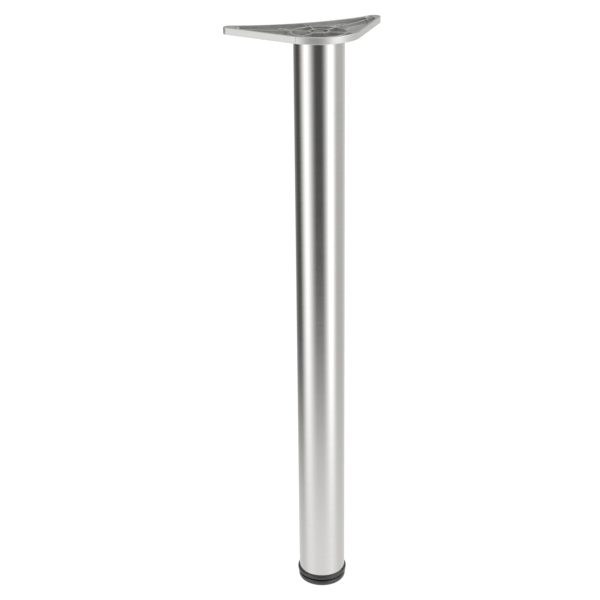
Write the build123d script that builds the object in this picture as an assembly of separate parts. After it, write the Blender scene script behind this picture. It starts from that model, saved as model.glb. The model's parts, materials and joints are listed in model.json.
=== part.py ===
from build123d import *
from math import acos, atan2, cos, degrees, hypot, radians, sin, tan
import os

# Table leg: a round steel tube under a cast three-cornered mounting plate, on a screw-in
# levelling foot. Millimetres, Z up. The origin is the middle of the foot's floor face, on
# the tube's axis, and the plate's rounded nose points to -Y.

# Tube
tube_diameter = 60.0
tube_wall = 1.5
tube_length = 710.0

# Levelling foot: a moulded pad on a threaded stem
pad_diameter = 62.0
pad_height = 11.2
pad_floor_diameter = 53.0
pad_flank_bottom = 4.6
pad_flank_step = 45
pad_neck_diameter = 57.6
pad_neck_height = 2.7
foot_seat_gap = 0.3
stem_diameter = 10.0
stem_length = 56.0
stem_head_diameter = 17.0
stem_head_height = 4.0
stem_head_lift = 3.0
stem_tip_bevel = 1.0
running_gap = 0.05

# End plug: a moulded insert whose flange closes the tube's lower end
flange_diameter = 64.0
flange_height = 5.0
flange_bevel = 0.8
plug_depth = 28.0
plug_wall = 2.4
plug_gap = 0.25
plug_web = 1.8
plug_web_count = 6
plug_boss_wall = 3.0
plug_rib_count = 6
plug_rib_width = 1.6
stem_way_gap = 0.4
nut_flats = 16.0
nut_height = 8.4
nut_recess = 1.0
nut_gap = 0.1

# Mounting plate, seen from above
plate_span = 196.6
nose_margin = 15.2
nose_radius = 50.6
back_margin = 17.4
tip_sweep = 9.2
tip_radius = 7.8

# Mounting plate, section
plate_height = 8.3
plate_web = 1.6
rim_wall = 2.4
rim_bevel = 0.5
collar_margin = 8.0
collar_height = 1.2
collar_bevel = 0.4
rib_drop = 2.0
hub_drop = 1.0
boss_drop = 1.0
wing_rib_drop = 2.9

# Ring, hub and spokes of the plate
ring_gap = 1.4
ring_wall = 2.8
hub_wall = 2.3
spoke_wall = 2.2
front_spoke_angle = 60.0
rear_spoke_angle = 124.0
strip_margin = 1.1
window_rim = 5.0
back_rib_wall = 1.3
back_rib_spread = 4.2
wing_rib_wall = 2.6
hub_fin_wall = 1.1
hub_fin_reach = 2.4

# Screw holes of the plate
boss_margin = 13.8
boss_diameter = 10.4
screw_hole_diameter = 5.5
countersink_diameter = 10.0
countersink_angle = 90.0
tip_hole_inset = 6.6
tip_solid = 10.8

# Spigot of the plate and the clamp inside the tube
spigot_depth = 24.0
spigot_wall = 3.0
spigot_gap = 0.25
spigot_half_angle = 44.0
clamp_screw_diameter = 8.0
clamp_screw_length = 35.0
clamp_head_flats = 13.0
clamp_head_height = 5.3
clamp_head_drop = 0.4
washer_diameter = 20.0
washer_height = 1.6
washer_gap = 0.4
hub_floor = 4.5
wedge_height = 18.0
wedge_top_width = 17.0
wedge_depth = 24.0
wedge_angle = 11.0
wedge_drop = 3.0
jaw_half_width = 16.4
jaw_wall = 3.0
jaw_head = 4.0
jaw_foot = 2.0
jaw_press_gap = 0.02
hub_clearance = 1.0
tang_gap = 0.7
tang_rise = 0.8

# Heights and radii that follow
tube_radius = tube_diameter / 2
tube_bore_radius = tube_radius - tube_wall
flange_bottom = pad_height + foot_seat_gap
tube_bottom = flange_bottom + flange_height
tube_top = tube_bottom + tube_length
plate_bottom = tube_top + collar_height
plate_floor = plate_bottom + plate_web
plate_top = plate_bottom + plate_height
rib_top = plate_top - rib_drop
hub_top = plate_top - hub_drop
boss_top = plate_top - boss_drop
nose_reach = tube_radius + nose_margin
back_reach = tube_radius + back_margin
ring_inner = tube_radius + ring_gap
ring_outer = ring_inner + ring_wall
stem_radius = stem_diameter / 2
clamp_radius = clamp_screw_diameter / 2
hub_bore = washer_diameter / 2 + washer_gap
hub_radius = hub_bore + hub_wall
window_inner = hub_radius + hub_clearance
window_outer = tube_bore_radius - window_rim
hub_seat = hub_top - clamp_head_drop - clamp_head_height - washer_height
hub_bottom = hub_seat - hub_floor
wedge_top = hub_bottom - wedge_drop
boss_radius = tube_radius + boss_margin


def tube_of(outer, inner, low, high):
    """An upright round sleeve between two heights."""
    height = high - low
    sleeve = Cylinder(outer, height, align=(Align.CENTER, Align.CENTER, Align.MIN))
    bore = Cylinder(inner, height, align=(Align.CENTER, Align.CENTER, Align.MIN))
    return Pos(0, 0, low) * (sleeve - bore)


def post(radius, low, high, x=0.0, y=0.0):
    """An upright round post between two heights."""
    return Pos(x, y, low) * Cylinder(radius, high - low, align=(Align.CENTER, Align.CENTER, Align.MIN))


def rib(start, end, wall, low, high):
    """An upright straight rib between two plan points."""
    run_x = end[0] - start[0]
    run_y = end[1] - start[1]
    block = Box(hypot(run_x, run_y), wall, high - low, align=(Align.MIN, Align.CENTER, Align.MIN))
    return Pos(start[0], start[1], low) * Rot(0, 0, degrees(atan2(run_y, run_x))) * block


def around(radius, angle):
    """A plan point at a radius, with its angle counted from the nose."""
    return (radius * sin(radians(angle)), -radius * cos(radians(angle)))


def hexagon(flats, low, high):
    """An upright six-sided bar."""
    return Pos(0, 0, low) * extrude(RegularPolygon(flats / 2, 6, major_radius=False), high - low)


def tip_centre():
    """Plan centre of the round corner at the right tip."""
    return Vector(plate_span / 2 - tip_radius, back_reach + tip_sweep)


def plate_prism(inset, low, high):
    """The plate's outline, drawn in by inset, between two heights.

    The nose arc runs into straight sides, small round tips and one shallow hollow arc at
    the back. All arcs keep their centres when the outline is drawn in."""
    nose = Vector(0, nose_radius - nose_reach)
    tip = tip_centre()
    away = tip - nose
    lean = degrees(acos((nose_radius - tip_radius) / away.length))
    side = away.normalized().rotate(Axis.Z, -lean)
    rise = tip.Y - back_reach
    back_radius = (rise**2 + tip.X**2 - tip_radius**2) / (2 * (rise + tip_radius))
    hollow = (Vector(0, back_reach + back_radius) - tip).normalized()
    outward = (side + hollow).normalized()
    nose_end = nose + side * (nose_radius - inset)
    tip_start = tip + side * (tip_radius - inset)
    tip_middle = tip + outward * (tip_radius - inset)
    tip_end = tip + hollow * (tip_radius - inset)
    nose_end_left = Vector(-nose_end.X, nose_end.Y)
    tip_start_left = Vector(-tip_start.X, tip_start.Y)
    tip_middle_left = Vector(-tip_middle.X, tip_middle.Y)
    tip_end_left = Vector(-tip_end.X, tip_end.Y)
    outline = [
        ThreePointArc(nose_end_left, Vector(0, inset - nose_reach), nose_end),
        Line(nose_end, tip_start),
        ThreePointArc(tip_start, tip_middle, tip_end),
        ThreePointArc(tip_end, Vector(0, back_reach - inset), tip_end_left),
        ThreePointArc(tip_end_left, tip_middle_left, tip_start_left),
        Line(tip_start_left, nose_end_left),
    ]
    return Pos(0, 0, low) * extrude(make_face(outline), high - low, dir=(0, 0, 1))


def boss_places():
    """The two screw bosses beside the ring, on the rear side spokes."""
    return [around(boss_radius, rear_spoke_angle), around(boss_radius, -rear_spoke_angle)]


def tip_hole_places():
    """The two screw holes near the tips, set in from the round corners."""
    tip = tip_centre()
    inward = (Vector(0, tip.Y) - tip).normalized()
    hole = tip + inward * tip_hole_inset
    return [(hole.X, hole.Y), (-hole.X, hole.Y)]


def shell_of_plate():
    """Web and outer rim, open at the top, with solid tips."""
    prism = plate_prism(0, plate_bottom, plate_top)
    prism = chamfer(prism.edges().group_by(Axis.Z)[0], rim_bevel)
    prism = chamfer(prism.edges().group_by(Axis.Z)[-1], rim_bevel)
    pocket = plate_prism(rim_wall, plate_floor, plate_top)
    pocket &= Pos(0, 0, plate_floor) * Box(plate_span - 2 * tip_solid, 2 * plate_span, plate_height,
                                           align=(Align.CENTER, Align.CENTER, Align.MIN))
    return prism - pocket


def ribs_of_plate():
    """Ring, spokes, wing ribs, bosses and short outer ribs that stand on the web."""
    ribs = tube_of(ring_outer, ring_inner, plate_bottom, rib_top)
    reaches = [(front_spoke_angle, nose_radius), (-front_spoke_angle, nose_radius),
               (rear_spoke_angle, boss_radius), (-rear_spoke_angle, boss_radius), (180, ring_outer)]
    for turn, reach in reaches:
        ribs += rib(around(hub_radius - hub_wall / 2, turn), around(reach, turn),
                    spoke_wall, plate_bottom, rib_top)
    for x, y in boss_places() + tip_hole_places():
        ribs += post(boss_diameter / 2, plate_bottom, boss_top, x, y)
    for boss, hole in zip(boss_places(), tip_hole_places()):
        ribs += rib(boss, hole, wing_rib_wall, plate_bottom, plate_top - wing_rib_drop)
    for side in (-1, 1):
        x = side * back_rib_spread / 2
        ribs += rib((x, ring_inner + ring_wall / 2), (x, back_reach), back_rib_wall, plate_bottom, rib_top)
    return ribs & plate_prism(rim_wall / 2, plate_bottom, plate_top)


def spigot():
    """Front and rear guide walls that stand inside the tube below the plate."""
    outer = tube_bore_radius - spigot_gap
    sleeve = tube_of(outer, outer - spigot_wall, tube_top - spigot_depth, tube_top)
    reach = 2 * tube_radius
    half = reach * tan(radians(spigot_half_angle))
    wedge_plan = [(0, 0), (reach, half), (reach, -half)]
    gap = extrude(make_face(Polyline(*wedge_plan, close=True)), spigot_depth, dir=(0, 0, 1))
    gap = Pos(0, 0, tube_top - spigot_depth) * gap
    return sleeve - gap - mirror(gap, Plane.YZ)


def windows():
    """Openings between the spokes, from the web into the tube."""
    opening = tube_of(window_outer, window_inner, tube_top, plate_floor)
    strip = spoke_wall + 2 * strip_margin
    for turn in (front_spoke_angle, rear_spoke_angle, 180, -rear_spoke_angle, -front_spoke_angle):
        opening -= rib((0, 0), around(tube_radius, turn), strip, tube_top, plate_floor)
    return opening


def mounting_plate():
    """One casting: rimmed web, ring, hub on spokes, screw bosses, collar and spigot."""
    casting = shell_of_plate() + ribs_of_plate()
    collar = post(tube_radius + collar_margin, tube_top, plate_bottom)
    casting += chamfer(collar.edges().group_by(Axis.Z)[0], collar_bevel)
    casting += spigot()
    casting -= windows()
    casting += post(hub_radius, hub_bottom, hub_top)
    fin_end = around(hub_radius + hub_fin_reach, 0)
    casting += rib(around(hub_radius - hub_wall / 2, 0), fin_end, hub_fin_wall, tube_top, hub_top)
    casting -= post(hub_bore, hub_seat, plate_top)
    casting -= post(clamp_radius + washer_gap, hub_bottom, plate_top)
    sink_depth = (countersink_diameter - screw_hole_diameter) / 2 / tan(radians(countersink_angle / 2))
    sink = Cone(countersink_diameter / 2, screw_hole_diameter / 2, sink_depth,
                align=(Align.CENTER, Align.CENTER, Align.MIN))
    for x, y in boss_places() + tip_hole_places():
        casting -= post(screw_hole_diameter / 2, plate_bottom, plate_top, x, y)
        casting -= Pos(x, y, plate_bottom) * sink
    return casting


def clamp_wedge():
    """Tapered nut block that the clamp screw draws up between the jaws."""
    bottom_width = wedge_top_width + 2 * wedge_height * tan(radians(wedge_angle))
    half_top = wedge_top_width / 2
    half_bottom = bottom_width / 2
    low = wedge_top - wedge_height
    section = [(-half_bottom, low), (half_bottom, low), (half_top, wedge_top), (-half_top, wedge_top)]
    face = make_face(Plane.XZ * Polyline(*section, close=True))
    block = extrude(face, wedge_depth / 2, both=True)
    return block - post(clamp_radius + running_gap, low, wedge_top)


def right_jaw():
    """C-shaped clamp jaw: a curved outer wall, a sloped inner face and a tang in its window."""
    outer = tube_bore_radius - jaw_press_gap
    low = wedge_top - wedge_height - jaw_foot
    block = post(outer, low, tube_top)
    block &= Pos(0, 0, low) * Box(outer, 2 * jaw_half_width, tube_top - low,
                                  align=(Align.MIN, Align.CENTER, Align.MIN))
    slope = tan(radians(wedge_angle))
    reach = outer
    face_x = wedge_top_width / 2 + (wedge_top - low) * slope
    section = [(-reach, low), (face_x, low), (wedge_top_width / 2, wedge_top), (-reach, wedge_top)]
    flank = extrude(make_face(Plane.XZ * Polyline(*section, close=True)), reach, both=True)
    block -= flank
    block -= post(window_inner, wedge_top, tube_top)
    hollow_x = face_x + jaw_wall
    hollow = post(outer - jaw_wall, low, tube_top - jaw_head)
    hollow &= Pos(hollow_x, 0, low) * Box(outer, 2 * (jaw_half_width - jaw_wall), tube_top - jaw_head - low,
                                          align=(Align.MIN, Align.CENTER, Align.MIN))
    block -= hollow
    tang = tube_of(window_outer - tang_gap, window_inner + tang_gap, tube_top, plate_floor + tang_rise)
    strip = spoke_wall + 2 * strip_margin + 2 * tang_gap
    for turn in (front_spoke_angle, rear_spoke_angle):
        tang -= rib((0, 0), around(tube_radius, turn), strip, tube_top, plate_top)
    keep = 2 * tube_radius * tan(radians(90 - front_spoke_angle))
    wedge_plan = [(0, 0), (2 * tube_radius, keep), (2 * tube_radius, -keep)]
    sector = extrude(make_face(Polyline(*wedge_plan, close=True)), plate_top - tube_top, dir=(0, 0, 1))
    tang &= Pos(0, 0, tube_top) * sector
    return block + tang


def clamp_screw():
    """Hexagon-head screw that pulls the wedge up."""
    under_head = hub_seat + washer_height
    head = hexagon(clamp_head_flats, under_head, under_head + clamp_head_height)
    shank = post(clamp_radius, under_head - clamp_screw_length, under_head)
    shank = chamfer(shank.edges().group_by(Axis.Z)[0], stem_tip_bevel)
    return head + shank


def clamp_washer():
    """Flat washer under the clamp screw's head."""
    return tube_of(washer_diameter / 2, clamp_radius + washer_gap / 2, hub_seat, hub_seat + washer_height)


def tube():
    """The leg's round tube."""
    return tube_of(tube_radius, tube_bore_radius, tube_bottom, tube_top)


def end_plug():
    """Moulded plug: flange under the tube, thin wall with grip ribs, boss and webs inside."""
    top = tube_bottom + plug_depth
    wall_radius = tube_bore_radius - plug_gap
    boss = nut_flats / 2 / cos(radians(30)) + nut_gap + plug_boss_wall
    flange = post(flange_diameter / 2, flange_bottom, tube_bottom)
    flange = chamfer(flange.edges().group_by(Axis.Z)[-1], flange_bevel)
    plug = flange + tube_of(wall_radius, wall_radius - plug_wall, tube_bottom, top)
    for count in range(plug_rib_count):
        turn = 360 / plug_rib_count * (count + 0.5)
        grip = rib(around(wall_radius - plug_wall / 2, turn), around(tube_radius, turn),
                   plug_rib_width, tube_bottom, top)
        plug += grip & post(tube_bore_radius, tube_bottom, top)
    for count in range(plug_web_count):
        turn = 360 / plug_web_count * count
        plug += rib(around(0, turn), around(wall_radius - plug_wall / 2, turn), plug_web, tube_bottom, top)
    plug += post(boss, tube_bottom, top)
    plug -= post(stem_radius + stem_way_gap, flange_bottom, top)
    plug -= hexagon(nut_flats + 2 * nut_gap, flange_bottom, flange_bottom + nut_recess + nut_height)
    return plug


def stem_nut():
    """Hexagon nut held in the plug, which the stem turns in."""
    low = flange_bottom + nut_recess
    high = low + nut_height
    return hexagon(nut_flats, low, high) - post(stem_radius + running_gap, low, high)


def foot_stem():
    """Threaded stem with a round head that the pad is moulded on."""
    low = stem_head_lift
    shank = post(stem_radius, low, low + stem_length)
    shank = chamfer(shank.edges().group_by(Axis.Z)[-1], stem_tip_bevel)
    return shank + post(stem_head_diameter / 2, low, low + stem_head_height)


def foot_pad():
    """Moulded pad: flat floor face, rounded lower edge, straight rim and a narrower neck."""
    floor_radius = pad_floor_diameter / 2
    rim_radius = pad_diameter / 2
    neck_radius = pad_neck_diameter / 2
    shoulder = pad_height - pad_neck_height
    bulge = rim_radius - floor_radius
    flank = [(floor_radius + bulge * sin(radians(turn)), pad_flank_bottom * (1 - cos(radians(turn))))
             for turn in range(0, 91, pad_flank_step)]
    outline = [
        Line((0, 0), (floor_radius, 0)),
        Polyline(*flank),
        Line((rim_radius, pad_flank_bottom), (rim_radius, shoulder)),
        Line((rim_radius, shoulder), (neck_radius, shoulder)),
        Line((neck_radius, shoulder), (neck_radius, pad_height)),
        Line((neck_radius, pad_height), (0, pad_height)),
        Line((0, pad_height), (0, 0)),
    ]
    pad = revolve(Plane.XZ * make_face(outline), Axis.Z)
    gap = running_gap
    pad -= post(stem_head_diameter / 2 + gap, stem_head_lift - gap, stem_head_lift + stem_head_height + gap)
    return pad - post(stem_radius + gap, stem_head_lift, pad_height)


pieces = {
    "mounting_plate": mounting_plate(),
    "clamp_screw": clamp_screw(),
    "clamp_washer": clamp_washer(),
    "clamp_wedge": clamp_wedge(),
    "right_jaw": right_jaw(),
    "left_jaw": mirror(right_jaw(), Plane.YZ),
    "tube": tube(),
    "end_plug": end_plug(),
    "stem_nut": stem_nut(),
    "foot_stem": foot_stem(),
    "foot_pad": foot_pad(),
}

os.makedirs("parts", exist_ok=True)
for name, solid in pieces.items():
    export_step(solid, f"parts/{name}.step")
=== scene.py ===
import json
from math import atan2, cos, degrees, pi, radians, sin, tan

import bmesh
import bpy
from mathutils import Matrix, Vector


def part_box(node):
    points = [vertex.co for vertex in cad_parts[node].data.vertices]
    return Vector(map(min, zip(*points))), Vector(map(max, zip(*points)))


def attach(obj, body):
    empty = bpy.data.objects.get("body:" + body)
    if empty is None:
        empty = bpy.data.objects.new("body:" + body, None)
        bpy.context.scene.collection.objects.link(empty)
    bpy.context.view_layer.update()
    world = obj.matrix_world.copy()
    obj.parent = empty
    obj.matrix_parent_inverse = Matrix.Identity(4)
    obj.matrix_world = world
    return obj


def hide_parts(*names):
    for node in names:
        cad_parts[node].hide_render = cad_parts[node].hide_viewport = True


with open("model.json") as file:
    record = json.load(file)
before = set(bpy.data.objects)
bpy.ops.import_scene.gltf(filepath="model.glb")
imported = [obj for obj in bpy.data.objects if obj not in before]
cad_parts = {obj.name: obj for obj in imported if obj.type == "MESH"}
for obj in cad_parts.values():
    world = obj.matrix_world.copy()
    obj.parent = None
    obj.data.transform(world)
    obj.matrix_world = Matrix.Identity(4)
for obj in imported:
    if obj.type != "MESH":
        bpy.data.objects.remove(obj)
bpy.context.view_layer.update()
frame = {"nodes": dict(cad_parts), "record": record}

# The table leg in metres: the foot's floor face is Z = 0 at rest, the tube stands on the Z axis
# and the plate's rounded nose points to -Y.
MM = 0.001
NOSE_Y = 5.4 * MM       # middle of the plate's round nose, in plan
PLATE_TOP = 736 * MM
TURN_STEPS = 144        # steps of a turned shape


# Node trees

class Field:
    """A node socket that takes part in Python sums; the sum adds its own Math nodes."""

    def __init__(self, tree, socket):
        self.tree = tree
        self.socket = socket

    def math(self, operation, *others):
        return self.tree.add("ShaderNodeMath", {"operation": operation}, (self, *others))

    def __add__(self, other):
        return self.math("ADD", other)

    def __sub__(self, other):
        return self.math("SUBTRACT", other)

    def __rsub__(self, other):
        return self.tree.add("ShaderNodeMath", {"operation": "SUBTRACT"}, (other, self))

    def __mul__(self, other):
        return self.math("MULTIPLY", other)

    def __truediv__(self, other):
        return self.math("DIVIDE", other)

    def __gt__(self, other):
        return self.math("GREATER_THAN", other)

    def __lt__(self, other):
        return self.math("LESS_THAN", other)

    def __abs__(self):
        return self.math("ABSOLUTE")

    def root(self):
        return self.math("SQRT")

    def least(self, other):
        return self.math("MINIMUM", other)

    def most(self, other):
        return self.math("MAXIMUM", other)

    __rmul__ = __mul__


class Tree:
    """A node tree, shader or geometry, with one way to add a node."""

    def __init__(self, nodes):
        self.nodes = nodes
        nodes.nodes.clear()

    def add(self, kind, settings=None, values=(), out=0):
        """Adds a node: its settings first, then the values or links of its sockets."""
        node = self.nodes.nodes.new(kind)
        for name, value in (settings or {}).items():
            setattr(node, name, value)
        pairs = values.items() if isinstance(values, dict) else enumerate(values)
        for name, value in pairs:
            self.feed(node.inputs[name], value)
        return Field(self, node.outputs[out]) if node.outputs else node

    def feed(self, socket, value):
        if isinstance(value, Field):
            self.nodes.links.new(value.socket, socket)
        elif value is not None:
            socket.default_value = value

    def other(self, field, out):
        """Another output of the node that a field comes from."""
        return Field(self, field.socket.node.outputs[out])

    def split(self, vector):
        first = self.add("ShaderNodeSeparateXYZ", None, [vector])
        return first, self.other(first, 1), self.other(first, 2)

    def joined(self, x, y, z):
        return self.add("ShaderNodeCombineXYZ", None, [x, y, z])

    def smooth(self, value, low, high, start=0.0, end=1.0):
        """A smooth step of value from low to high."""
        return self.add("ShaderNodeMapRange", {"interpolation_type": "SMOOTHSTEP"},
                        [value, low, high, start, end])

    def blend(self, factor, first, second):
        """A colour between two colours."""
        colours = {0: factor, 6: first, 7: second}
        return self.add("ShaderNodeMix", {"data_type": "RGBA"}, colours, out=2)

    def noise(self, vector, size, detail=2.0):
        """Soft noise about 0.5 whose grains are about size metres across."""
        return self.add("ShaderNodeTexNoise", None, {
            "Vector": vector, "Scale": 1 / size, "Detail": detail})


def colour(shade, factor=1.0):
    return (*[channel * factor for channel in shade], 1)


# Camera

def place_camera():
    """The photograph's view: a long lens, looking down on the leg from the left front."""
    pitch, yaw, roll = radians(22.22998), radians(-0.9375), radians(-0.67716)
    back_off, height = 1.55976, 1.03815
    nose_turn = radians(-70.59)
    focal_pixels, picture_pixels, sensor = 1355.365, 600, 36.0
    ahead = Vector((sin(yaw) * cos(pitch), cos(yaw) * cos(pitch), -sin(pitch)))
    right = Vector((cos(yaw), -sin(yaw), 0))
    up = right.cross(ahead)
    rolled_right = cos(roll) * right + sin(roll) * up
    rolled_up = cos(roll) * up - sin(roll) * right
    along = Vector((-sin(nose_turn), cos(nose_turn)))
    nose = Vector((cos(nose_turn), sin(nose_turn)))

    def in_leg_axes(v):
        return Vector((v.x * along.x + v.y * along.y, -v.x * nose.x - v.y * nose.y, v.z))

    axes = [in_leg_axes(v) for v in (rolled_right, rolled_up, -ahead)]
    place = in_leg_axes(Vector((0, -back_off, height)))
    data = bpy.data.cameras.new("photo_camera")
    data.sensor_width = sensor
    data.lens = focal_pixels / picture_pixels * sensor
    data.clip_end = 100
    camera = bpy.data.objects.new("photo_camera", data)
    bpy.context.scene.collection.objects.link(camera)
    rows = [(*[axis[i] for axis in axes], place[i]) for i in range(3)]
    camera.matrix_world = Matrix(rows + [(0, 0, 0, 1)])
    bpy.context.scene.camera = camera
    return camera


camera = place_camera()


# Floor, backdrop and studio light

def studio():
    """Soft upright light panels round a pale floor, by azimuth from the camera and by elevation,
    both in degrees. They are fitted to the photograph's one view. Strengths are those seen in the
    tube, so its shade is divided out."""
    world = bpy.data.worlds.new("studio")
    world.use_nodes = True
    bpy.context.scene.world = world
    tree = Tree(world.node_tree)
    x, y, z = tree.split(tree.add("ShaderNodeTexCoord"))
    camera_azimuth = degrees(atan2(camera.location.y, camera.location.x))
    azimuth = y.math("ARCTAN2", x) * (180 / pi) - camera_azimuth
    azimuth = azimuth.math("WRAP", -180.0, 180.0)
    elevation = z.math("ARCSINE") * (180 / pi)

    def panel(rise, fall, strength):
        """An upright panel that rises and falls softly between two pairs of azimuths."""
        return tree.smooth(azimuth, *rise) * (1 - tree.smooth(azimuth, *fall)) * strength

    def wall(rise, strength):
        """A wall that stays lit beyond the azimuths where it rises."""
        return tree.smooth(azimuth, *rise) * strength

    room, upper_room, ceiling_shade = 0.055, 0.26, 0.55
    upper_share = 0.3
    horizon, ceiling_rise, floor_fall, side_turn = (-2, 7), (28, 60), (-22.3, -31.6), (50, 110)
    floor_front, floor_side_loss, floor_side_lift = 0.71, 0.14, 1.2
    tube_shade, warm_white = 0.66, (1, 0.995, 0.985, 1)
    left_panel = panel((-108, -52), (-74, -14), 1.3)
    right_panel = panel((8, 50), (46, 86), 1.02)
    side_lamp = panel((52, 74), (96, 118), 1.1)
    grey_walls = wall((30, 60), 0.36) + wall((115, 150), 0.11) + wall((-115, -175), 0.25)
    lower = left_panel + right_panel + grey_walls + room
    upper = (left_panel + right_panel) * upper_share + side_lamp + upper_room
    above = tree.smooth(elevation, *horizon)
    ceiling = tree.smooth(elevation, *ceiling_rise)
    sideways = tree.smooth(abs(azimuth), *side_turn)
    near_floor = tree.smooth(elevation + sideways * floor_side_lift, *floor_fall)
    floor_shade = floor_front - sideways * floor_side_loss
    shade = lower * (1 - above) + upper * above
    shade = shade * (1 - ceiling) + ceiling * ceiling_shade
    shade = near_floor * floor_shade + shade * (1 - near_floor)
    light = tree.add("ShaderNodeBackground", None, {
        "Color": warm_white, "Strength": shade / tube_shade})
    tree.add("ShaderNodeOutputWorld", None, {"Surface": light})


def plain_material(name, glow):
    """White by its own even glow, just bright enough not to flare over the leg's dark edges."""
    material = bpy.data.materials.new(name)
    material.use_nodes = True
    tree = Tree(material.node_tree)
    surface = tree.add("ShaderNodeBsdfPrincipled", None, {
        "Base Color": (0, 0, 0, 1), "Roughness": 0.9, "Specular IOR Level": 0.0,
        "Emission Color": (1, 1, 1, 1), "Emission Strength": glow})
    tree.add("ShaderNodeOutputMaterial", None, {"Surface": surface})
    return material


def stage_piece(name, points, faces, material):
    mesh = bpy.data.meshes.new(name)
    mesh.from_pydata(points, [], faces)
    mesh.materials.append(material)
    piece = bpy.data.objects.new(name, mesh)
    bpy.context.scene.collection.objects.link(piece)
    return piece


def circle(radius, height, steps):
    turns = [2 * pi * i / steps for i in range(steps)]
    return [(radius * cos(turn), radius * sin(turn), height) for turn in turns]


def stage():
    """A round pale floor, low enough for the foot's full drop, and a white backdrop round it."""
    steps = 96
    floor_height, floor_radius, floor_glow = -20.5 * MM, 20.0, 1.04
    wall_low, wall_high, wall_radius, wall_glow = -0.5, 12.0, 19.5, 1.08
    floor = stage_piece("studio_floor", circle(floor_radius, floor_height, steps),
                        [list(range(steps))], plain_material("floor_white", floor_glow))
    floor.visible_glossy = False
    wall_points = circle(wall_radius, wall_low, steps) + circle(wall_radius, wall_high, steps)
    wall_faces = [[i, i + steps, (i + 1) % steps + steps, (i + 1) % steps] for i in range(steps)]
    ceiling_face = list(range(steps, 2 * steps))
    backdrop = stage_piece("studio_backdrop", wall_points, wall_faces + [ceiling_face],
                           plain_material("backdrop_white", wall_glow))
    for flag in ("visible_glossy", "visible_diffuse", "visible_shadow", "visible_transmission"):
        setattr(backdrop, flag, False)
    bpy.context.scene.view_settings.view_transform = "Standard"


studio()
stage()


# Finishes

def new_finish(name):
    """A material's tree, and the x, y, z and whole place of a point of the piece, in metres."""
    material = bpy.data.materials.new(name)
    material.use_nodes = True
    tree = Tree(material.node_tree)
    place = tree.add("ShaderNodeTexCoord", out=3)
    return material, tree, place, tree.split(place)


def rounded_edges_and_mask(tree, radius):
    """A rounded normal for small edges, and a mask of those edges."""
    rounded = tree.add("ShaderNodeBevel", {"samples": 6}, {"Radius": radius})
    straight = tree.add("ShaderNodeNewGeometry", out=1)
    turn = tree.add("ShaderNodeVectorMath", {"operation": "DOT_PRODUCT"},
                    [rounded, straight], out=1)
    return rounded, tree.smooth(turn, 0.995, 0.93)


def bump(tree, height, distance, normal=None):
    """A bump of height (about 0 to 1) that is distance metres deep."""
    return tree.add("ShaderNodeBump", None, {
        "Strength": 1.0, "Distance": distance, "Height": height, "Normal": normal})


def surface(material, tree, sockets):
    shader = tree.add("ShaderNodeBsdfPrincipled", None, sockets)
    tree.add("ShaderNodeOutputMaterial", None, {"Surface": shader})
    return material


def satin_tube():
    """Polished steel with fine brushing round the tube and a faint cloudiness."""
    steel, roughness = (0.66, 0.655, 0.645), 0.19
    stretch, hair_size, band_size, cloud_size = 0.012, 0.25 * MM, 2.2 * MM, 70 * MM
    darkest, lightest, brushing_depth = 0.965, 1.03, 0.0015 * MM
    material, tree, place, (x, y, z) = new_finish("satin_tube_steel")
    round_the_tube = tree.joined(x * stretch, y * stretch, z)
    hairs = tree.noise(round_the_tube, hair_size, 3.0)
    bands = tree.noise(round_the_tube, band_size)
    clouds = tree.noise(place, cloud_size)
    streaks = hairs * 0.6 + bands * 0.4
    tint = tree.blend(tree.smooth(streaks, 0.3, 0.7),
                      colour(steel, darkest), colour(steel, lightest))
    return surface(material, tree, {
        "Base Color": tint, "Metallic": 1.0,
        "Roughness": (streaks - 0.5) * 0.12 + (clouds - 0.5) * 0.05 + roughness,
        "Normal": bump(tree, streaks, brushing_depth)})


def outline_depth(x, y):
    """How far a plan point lies inside the plate's outline, away from the round tips."""
    nose_radius, lean = 50.6 * MM, radians(-36.2)
    back_y, back_radius = 47.4 * MM, 241.6 * MM
    wide = abs(x)
    deep = y - NOSE_Y
    round_nose = (wide * wide + deep * deep).root()
    straight_side = wide * cos(lean) + deep * sin(lean)
    on_side = (deep * cos(lean) - wide * sin(lean)) > 0.0
    front = nose_radius - (straight_side * on_side + round_nose * (1 - on_side))
    rise = y - (back_y + back_radius)
    return front.least((x * x + rise * rise).root() - back_radius)


def pocket_of_plate(tree, x, y, z):
    """The hollow side of the plate: its web, ribs and inner walls, but not the rim's top."""
    rim_inside, rim_outside = 1.6 * MM, 1.0 * MM
    web_bottom, rim_low, rim_top = 728.2 * MM, 735.3 * MM, 735.7 * MM
    solid_tip = 88 * MM
    inside = tree.smooth(outline_depth(x, y), rim_outside, rim_inside)
    return inside * (abs(x) < solid_tip) * (z > web_bottom) * (1 - tree.smooth(z, rim_low, rim_top))


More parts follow.
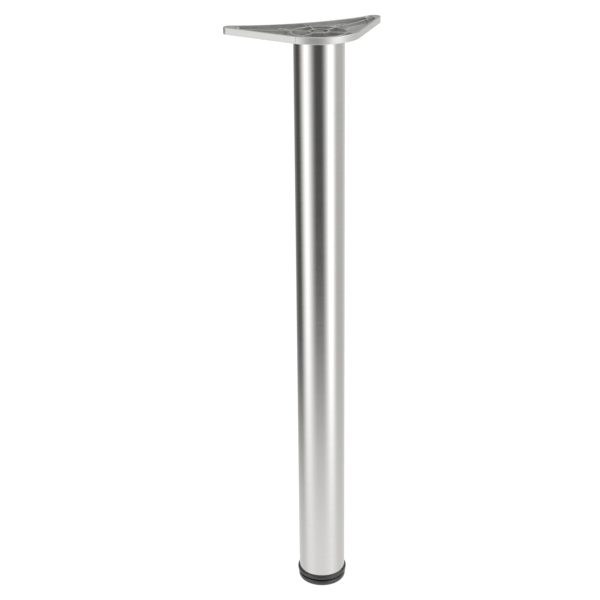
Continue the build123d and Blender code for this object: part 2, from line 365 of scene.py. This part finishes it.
def die_casting(name, shade, roughness, pockets=False):
    """Die-cast metal: fine grain, faint linishing round the walls, lighter edges as a painted
    highlight, and painted shade in the pockets.
    """
    grain_size, mottle_size, edge_radius, grain_depth = 0.35 * MM, 6 * MM, 0.45 * MM, 0.003 * MM
    linish_size, linish_stretch = 0.3 * MM, 0.03
    material, tree, place, (x, y, z) = new_finish(name)
    grain = tree.noise(place, grain_size, 3.0)
    mottle = tree.noise(place, mottle_size, 3.0)
    along_walls = tree.joined(x * linish_stretch, y * linish_stretch, z)
    linish = tree.noise(along_walls, linish_size, 2.0)
    rounded, edges = rounded_edges_and_mask(tree, edge_radius)
    tone = (mottle - 0.5) * 0.3 + (linish - 0.5) * 0.2 + 0.5
    skin = tree.blend(tone, colour(shade, 0.93), colour(shade, 1.07))
    rough = (grain - 0.5) * 0.1 + (linish - 0.5) * 0.06 + roughness
    if pockets:
        pocket = pocket_of_plate(tree, x, y, z)
        # Painted shade: the pocket's web, ribs and inner walls are blended slightly darker than the
        # outside.
        skin = tree.blend(pocket * 0.5, skin, colour(shade, 0.94))
        rough = rough - pocket * 0.08
        skin = tree.blend(casting_line(tree, x, y, z) * 0.45, skin, colour(shade, 0.3))
    # Painted highlight: the edge mask blends the skin towards a much lighter shade along rims and
    # ribs.
    skin = tree.blend(edges * 0.8, skin, colour(shade, 1.4))
    return surface(material, tree, {
        "Base Color": skin, "Metallic": 0.9, "Roughness": rough - edges * 0.06,
        "Normal": bump(tree, grain * 0.7 + linish * 0.3, grain_depth, rounded)})


def casting_line(tree, x, y, z):
    """The upright flow line on the nose's left front wall."""
    place, half, drift = -48.6, 0.9, 0.1 / MM
    fade_low, fade_high = 728.2 * MM, 730.0 * MM
    turn = x.math("ARCTAN2", -1 * (y - NOSE_Y)) * (180 / pi)
    off_line = abs(turn - place + (PLATE_TOP - z) * drift)
    return (1 - tree.smooth(off_line, half * 0.3, half)) * tree.smooth(z, fade_low, fade_high)


def zinc_plate():
    """Zinc: cool, slightly cloudy, with a thin yellow cast in patches. Its base is dark, partly as
    a dull finish and partly as painted shade for the bolt head.
    """
    # The dark zinc base is partly painted shade: it stands in for the shade that falls on the bolt
    # head.
    zinc, yellow, roughness = (0.39, 0.395, 0.41), (0.43, 0.41, 0.365), 0.33
    material, tree, place = new_finish("zinc_steel")[:3]
    clouds = tree.noise(place, 3 * MM, 3.0)
    spots = tree.noise(place, 0.4 * MM, 2.0)
    rounded, edges = rounded_edges_and_mask(tree, 0.15 * MM)
    tint = tree.blend(tree.smooth(clouds, 0.35, 0.7), colour(zinc), colour(yellow))
    tint = tree.blend(edges * 0.4, tint, colour(zinc, 1.15))
    return surface(material, tree, {
        "Base Color": tint, "Metallic": 1.0, "Roughness": (spots - 0.5) * 0.2 + roughness,
        "Normal": bump(tree, spots, 0.003 * MM, rounded)})


def moulded_plastic():
    """Black plastic with a fine spark-eroded grain, a little lighter on its edges."""
    black, roughness = (0.024, 0.024, 0.025), 0.24
    material, tree, place = new_finish("black_plastic")[:3]
    grain = tree.noise(place, 0.3 * MM, 2.0)
    dust = tree.noise(place, 9 * MM, 3.0)
    rounded, edges = rounded_edges_and_mask(tree, 0.3 * MM)
    tint = tree.blend(tree.smooth(dust, 0.35, 0.75), colour(black), colour(black, 1.5))
    tint = tree.blend(edges * 0.35, tint, colour(black, 2.6))
    return surface(material, tree, {
        "Base Color": tint, "IOR": 1.6, "Roughness": (grain - 0.5) * 0.15 + roughness,
        "Normal": bump(tree, grain, 0.006 * MM, rounded)})


finishes = {
    "tube_steel": satin_tube(),
    "plate_casting": die_casting("plate_casting", (0.66, 0.66, 0.655), 0.42, pockets=True),
    "clamp_casting": die_casting("clamp_casting", (0.42, 0.42, 0.415), 0.42),
    "zinc_steel": zinc_plate(),
    "black_plastic": moulded_plastic(),
}
for row in frame["record"]["subparts"]:
    node = frame["nodes"][row["node"]]
    node.data.materials.clear()
    node.data.materials.append(finishes[row["material_slot"]])


# Pieces that the solids only stand for

def new_piece(name, mesh, node, body, slot):
    """Puts a finished mesh in the scene in place of a CAD node."""
    piece = bpy.data.objects.new(name, mesh)
    bpy.context.scene.collection.objects.link(piece)
    mesh.materials.clear()
    mesh.materials.append(finishes[slot])
    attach(piece, body)
    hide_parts(node)
    return piece


def smooth_mesh(name, shape, sharp_angle=32):
    """A plain mesh from a bmesh, shaded smooth up to an angle."""
    mesh = bpy.data.meshes.new(name)
    shape.to_mesh(mesh)
    shape.free()
    mesh.shade_smooth()
    mesh.set_sharp_from_angle(angle=radians(sharp_angle))
    return mesh


def turned(rows, steps=TURN_STEPS):
    """A closed shape turned round Z. A row is (height, radius) in metres, and a radius may be
    a function of the angle; the first and last rows are poles."""
    shape = bmesh.new()
    rings = []
    for height, radius in rows:
        at = radius if callable(radius) else (lambda turn, fixed=radius: fixed)
        rings.append([shape.verts.new((at(turn) * cos(turn), at(turn) * sin(turn), height))
                      for turn in [2 * pi * i / steps for i in range(steps)]])
    first = shape.verts.new((0, 0, rows[0][0]))
    last = shape.verts.new((0, 0, rows[-1][0]))
    for i in range(steps):
        j = (i + 1) % steps
        shape.faces.new((first, rings[0][j], rings[0][i]))
        shape.faces.new((last, rings[-1][i], rings[-1][j]))
        for low, high in zip(rings, rings[1:]):
            shape.faces.new((low[i], low[j], high[j], high[i]))
    return shape


def corner(centre_radius, centre_height, size, start, end, parts=6):
    """Rows of a rounded corner, by angle in degrees from outwards to upwards."""
    turns = [radians(start + (end - start) * i / parts) for i in range(parts + 1)]
    return [(centre_height + size * sin(turn), centre_radius + size * cos(turn)) for turn in turns]


def hexagon_radius(flats, limit=None):
    """The radius of a hexagon by angle, held in by a round limit."""
    def radius(turn):
        across = flats / 2 / cos((turn % (pi / 3)) - pi / 6)
        return across if limit is None else min(across, limit)
    return radius


def thread_tree():
    """Geometry nodes for a closed threaded rod: a sheet wrapped round Z, with V-shaped turns."""
    group = bpy.data.node_groups.new("threaded_rod", "GeometryNodeTree")
    sizes = {"Radius": 5 * MM, "Pitch": 1.5 * MM, "Depth": 0.9 * MM,
             "Low": 0.0, "High": 0.05, "Lead": 1 * MM}
    for name, value in sizes.items():
        socket = group.interface.new_socket(name, in_out="INPUT", socket_type="NodeSocketFloat")
        socket.default_value = value
    for name, value in (("Around", 48), ("Rows", 240)):
        socket = group.interface.new_socket(name, in_out="INPUT", socket_type="NodeSocketInt")
        socket.default_value = value
    group.interface.new_socket("Finish", in_out="INPUT", socket_type="NodeSocketMaterial")
    group.interface.new_socket("Rod", in_out="OUTPUT", socket_type="NodeSocketGeometry")
    tree = Tree(group)
    given = tree.add("NodeGroupInput")
    outputs = [tree.other(given, i) for i in range(9)]
    radius, pitch, depth, low, high, lead, around, rows, finish = outputs
    sheet = tree.add("GeometryNodeMeshGrid", None, [1.0, 1.0, around + 1, rows])
    across, along = tree.split(tree.add("GeometryNodeInputPosition"))[:2]
    share = across + 0.5
    row = (along + 0.5) * (rows - 1)
    run = ((row - 1) / (rows - 3)).most(0.0).least(1.0)
    height = low + run * (high - low)
    phase = height / pitch - share
    wave = abs(phase.math("FRACT") * 2 - 1)
    crest_share, flank_share, weld = 0.12, 0.72, 0.002 * MM
    groove = ((wave - crest_share) / flank_share).most(0.0).least(1.0)
    ends = (height - low).least(high - height) + radius - lead
    size = (radius - groove * depth).least(ends)
    size = size * (row > 0.5) * (row < rows - 1.5)
    turn = share * (2 * pi)
    wrapped = tree.joined(size * turn.math("COSINE"), size * turn.math("SINE"), height)
    bent = tree.add("GeometryNodeSetPosition", None, {"Geometry": sheet, "Position": wrapped})
    closed = tree.add("GeometryNodeMergeByDistance", None, {"Geometry": bent, "Distance": weld})
    plain = tree.add("GeometryNodeRealizeInstances", None, [closed])
    dressed = tree.add("GeometryNodeSetMaterial", None, {"Geometry": plain, "Material": finish})
    tree.add("NodeGroupOutput", None, [dressed])
    return group


thread = thread_tree()


def threaded_rod(sizes, finish):
    """A bmesh of a threaded rod, from the geometry nodes and their named sizes."""
    carrier = bpy.data.objects.new("rod", bpy.data.meshes.new("rod"))
    bpy.context.scene.collection.objects.link(carrier)
    modifier = carrier.modifiers.new("thread", "NODES")
    modifier.node_group = thread
    inputs = [item for item in thread.interface.items_tree if item.in_out == "INPUT"]
    named = {item.name: item.identifier for item in inputs}
    for name, value in {**sizes, "Finish": finish}.items():
        modifier[named[name]] = value
    evaluated = carrier.evaluated_get(bpy.context.evaluated_depsgraph_get())
    mesh = bpy.data.meshes.new_from_object(evaluated)
    shape = bmesh.new()
    shape.from_mesh(mesh)
    bpy.data.objects.remove(carrier)
    bpy.data.meshes.remove(mesh)
    return shape


def both(first, second):
    """One bmesh that holds the shells of two."""
    mesh = bpy.data.meshes.new("held")
    second.to_mesh(mesh)
    second.free()
    first.from_mesh(mesh)
    bpy.data.meshes.remove(mesh)
    return first


def levelling_stem():
    """The threaded stem with the round head that the pad is moulded on."""
    low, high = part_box("foot_stem")
    head_radius, head_height, edge = high.x, 4 * MM, 0.4 * MM
    rod = threaded_rod({"Radius": 5 * MM, "Pitch": 1.5 * MM, "Depth": 0.85 * MM,
                        "Low": low.z + 2 * MM, "High": high.z, "Lead": 1.2 * MM,
                        "Around": 60, "Rows": 380}, finishes["zinc_steel"])
    rows = ([(low.z, head_radius - edge)] + corner(head_radius - edge, low.z + edge, edge, -90, 0)
            + corner(head_radius - edge, low.z + head_height - edge, edge, 0, 90))
    return new_piece("levelling_stem", smooth_mesh("levelling_stem", both(turned(rows), rod), 50),
                     "foot_stem", "stem", "zinc_steel")


def chamfer(flats, end, inwards):
    """Rows of a hexagon's 30 degree chamfer, from its end face inwards: 1 is up and -1 is down."""
    face, slope = flats * 0.475, tan(radians(30))
    depths = [depth * MM for depth in (0.0, 0.15, 0.3, 0.45, 0.6, 0.8, 1.0)]
    return [(end + inwards * depth, hexagon_radius(flats, face + depth / slope))
            for depth in depths]


def clamp_bolt():
    """The clamp screw: a chamfered, slightly dished hexagon head on an M8 thread."""
    low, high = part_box("clamp_screw")
    flats, head_height = high.y - low.y, 5.3 * MM
    under = high.z - head_height
    bearing_radius, bearing = flats * 0.46, 0.15 * MM
    dish_radius, dish = 4.4 * MM, 0.5 * MM
    rows = [(under, bearing_radius), (under + bearing, bearing_radius),
            (under + bearing + 0.01 * MM, hexagon_radius(flats))]
    rows += reversed(chamfer(flats, high.z, -1))
    rows += [(high.z, dish_radius), (high.z - 0.5 * dish, dish_radius - 0.5 * MM),
             (high.z - dish, dish_radius - 1.4 * MM)]
    rod = threaded_rod({"Radius": 4 * MM, "Pitch": 1.25 * MM, "Depth": 0.72 * MM,
                        "Low": low.z, "High": under + 0.5 * MM, "Lead": 1 * MM,
                        "Around": 48, "Rows": 280}, finishes["zinc_steel"])
    return new_piece("clamp_bolt", smooth_mesh("clamp_bolt", both(turned(rows), rod), 35),
                     "clamp_screw", "leg", "zinc_steel")


def chamfered_nut():
    """The hexagon nut in the plug, chamfered at both ends, with its bore."""
    low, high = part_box("stem_nut")
    flats, bore, sink = high.y - low.y, 5.05 * MM, 0.7 * MM
    rows = chamfer(flats, low.z, 1) + chamfer(flats, high.z, -1)[::-1]
    rows += [(high.z, bore + sink), (high.z - sink, bore)]
    rows += [(low.z + sink, bore), (low.z, bore + sink)]
    shape = turned(rows)
    poles = [v for v in shape.verts if v.co.xy.length < 1e-6]
    bmesh.ops.delete(shape, geom=poles, context="VERTS")
    shape.verts.ensure_lookup_table()
    first_ring = shape.verts[:TURN_STEPS]
    last_ring = shape.verts[(len(rows) - 1) * TURN_STEPS:]
    for i in range(TURN_STEPS):
        j = (i + 1) % TURN_STEPS
        shape.faces.new((last_ring[i], last_ring[j], first_ring[j], first_ring[i]))
    return new_piece("chamfered_nut", smooth_mesh("chamfered_nut", shape, 35),
                     "stem_nut", "leg", "zinc_steel")


def foot_pad():
    """The moulded pad: a slightly hollow floor face, rounded edges, a groove under the plug."""
    floor_radius, rim_radius, neck_radius = 26.5 * MM, 31 * MM, 28.8 * MM
    hollow_radius, hollow = 21 * MM, 0.5 * MM
    shoulder, top = 8.5 * MM, 11.2 * MM
    soft, neck_soft = 0.7 * MM, 0.3 * MM
    flank_height, flank_width = 4.7 * MM, rim_radius - floor_radius
    flank_turns = [radians(10 * i) for i in range(10)]
    head_radius, head_low, head_high, bore = 8.56 * MM, 2.94 * MM, 7.06 * MM, 5.06 * MM
    flank = [(flank_height * (1 - cos(turn)), floor_radius + flank_width * sin(turn))
             for turn in flank_turns]
    rows = ([(hollow, hollow_radius), (0.0, hollow_radius + hollow)] + flank
            + corner(rim_radius - soft, shoulder - soft, soft, 0, 90)
            + [(shoulder, neck_radius + neck_soft), (shoulder + neck_soft, neck_radius)]
            + corner(neck_radius - neck_soft, top - neck_soft, neck_soft, 0, 90, 3)
            + [(top, bore), (head_high, bore), (head_high, head_radius), (head_low, head_radius)])
    return new_piece("moulded_pad", smooth_mesh("moulded_pad", turned(rows, 180), 30),
                     "foot_pad", "foot", "black_plastic")


def plug_with_soft_edges():
    """The end plug's own solid, merged, with the flange's visible edges rounded."""
    shape = bmesh.new()
    shape.from_mesh(frame["nodes"]["end_plug"].data)
    bmesh.ops.remove_doubles(shape, verts=shape.verts, dist=0.001 * MM)
    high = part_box("end_plug")[1]
    outside = high.x - 1 * MM
    flange = [e for e in shape.edges if all(v.co.xy.length > outside for v in e.verts)
              and abs(e.verts[0].co.z - e.verts[1].co.z) < 0.01 * MM
              and len(e.link_faces) == 2 and e.calc_face_angle(0) > radians(20)]
    bmesh.ops.bevel(shape, geom=flange, offset=0.45 * MM, segments=3, profile=0.5, affect="EDGES")
    return new_piece("soft_edged_plug", smooth_mesh("soft_edged_plug", shape, 28),
                     "end_plug", "leg", "black_plastic")


levelling_stem()
clamp_bolt()
chamfered_nut()
foot_pad()
plug_with_soft_edges()
